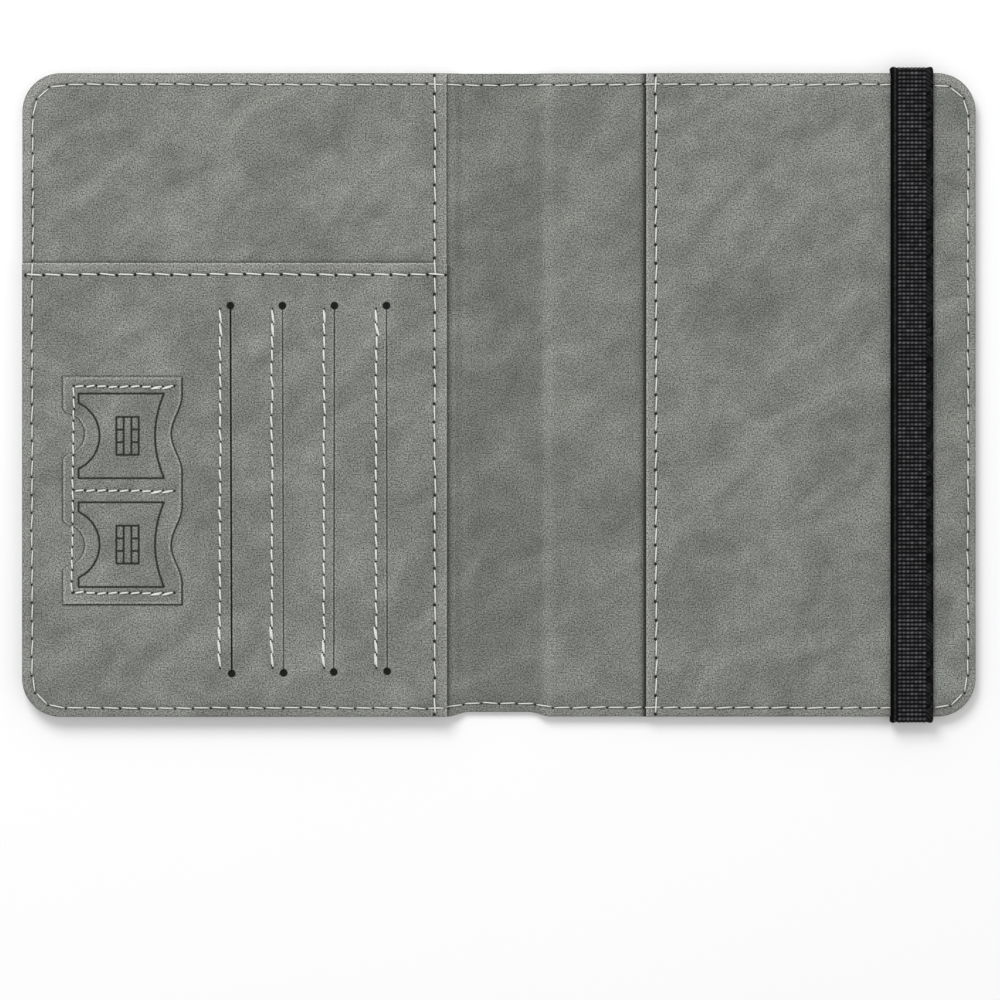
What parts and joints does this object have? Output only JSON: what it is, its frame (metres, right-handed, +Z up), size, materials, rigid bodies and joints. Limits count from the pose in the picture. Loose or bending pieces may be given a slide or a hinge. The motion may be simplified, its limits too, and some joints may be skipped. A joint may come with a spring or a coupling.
{
  "type": "passport holder wallet",
  "caption": "Folding leather-look passport wallet with card slits, small card patch, boarding-pass pocket, passport sleeve and an elastic closure band.",
  "frame": {"origin": "middle of the open wallet's footprint, on the face that it rests on", "axes": "+X across the open wallet from the front cover to the back cover, +Y along the spine towards the top edge, +Z up out of the inside faces"},
  "size_m": [0.2222, 0.1528, 0.0052],
  "materials": {
    "outer_leather": "matte nubuck-like coated leather with soft cloudy marbling and fine grain",
    "lining_leather": "matte nubuck-like coated leather, slightly darker",
    "pocket_leather": "matte nubuck-like coated leather with turned edges",
    "stiffener": "plain grey stiffening sheet",
    "foil": "thin rolled foil laminate",
    "liner_fabric": "thin plain-woven polyester",
    "elastic": "ribbed woven elastic with dense selvages",
    "thread": "twisted polyester sewing thread"
  },
  "bodies": {
    "back_cover": {"outer_back": "outer_leather", "board_back": "stiffener", "rfid_back": "foil", "lining_back": "lining_leather", "passport_sleeve": "pocket_leather", "band_tab_top": "elastic", "band_tab_bottom": "elastic", "seam_back_edge": "thread", "seam_sleeve_edge": "thread"},
    "spine": {"outer_spine": "outer_leather", "lining_spine": "lining_leather", "seam_spine": "thread"},
    "front_cover": {"outer_front": "outer_leather", "board_front": "stiffener", "rfid_front": "foil", "lining_front": "lining_leather", "boarding_pocket": "pocket_leather", "card_slot_panel": "pocket_leather", "card_liner_1": "liner_fabric", "card_liner_2": "liner_fabric", "card_liner_3": "liner_fabric", "card_liner_4": "liner_fabric", "sim_pocket": "pocket_leather", "seam_front_edge": "thread", "seam_pocket_edge": "thread", "seam_card_panel_top": "thread", "seam_slot_1": "thread", "seam_slot_2": "thread", "seam_slot_3": "thread", "seam_slot_4": "thread", "seam_sim": "thread"},
    "band_ends": {"band_wrap_top": "elastic", "band_wrap_bottom": "elastic"},
    "band_strand": {"band_strand": "elastic"}
  },
  "joints": [
    {"name": "back_fold", "type": "hinge", "parent": "back_cover", "child": "spine", "pos_m": [0.0045, 0, 0.0008], "axis": [0, 1, 0], "range_deg": [0, 90]},
    {"name": "front_fold", "type": "hinge", "parent": "spine", "child": "front_cover", "pos_m": [-0.0045, 0, 0.0008], "axis": [0, 1, 0], "range_deg": [0, 90]},
    {"name": "band_slip", "type": "slide", "parent": "back_cover", "child": "band_ends", "axis": [-1, 0, 0], "range_m": [-0.024, 0], "stiffness_N_per_m": 60},
    {"name": "band_lift", "type": "slide", "parent": "band_ends", "child": "band_strand", "axis": [0, 0, 1], "range_m": [0, 0.0073], "stiffness_N_per_m": 120}
  ],
  "couplings": [
    {"joint": "back_fold", "follows": "front_fold", "ratio": 1}
  ]
}
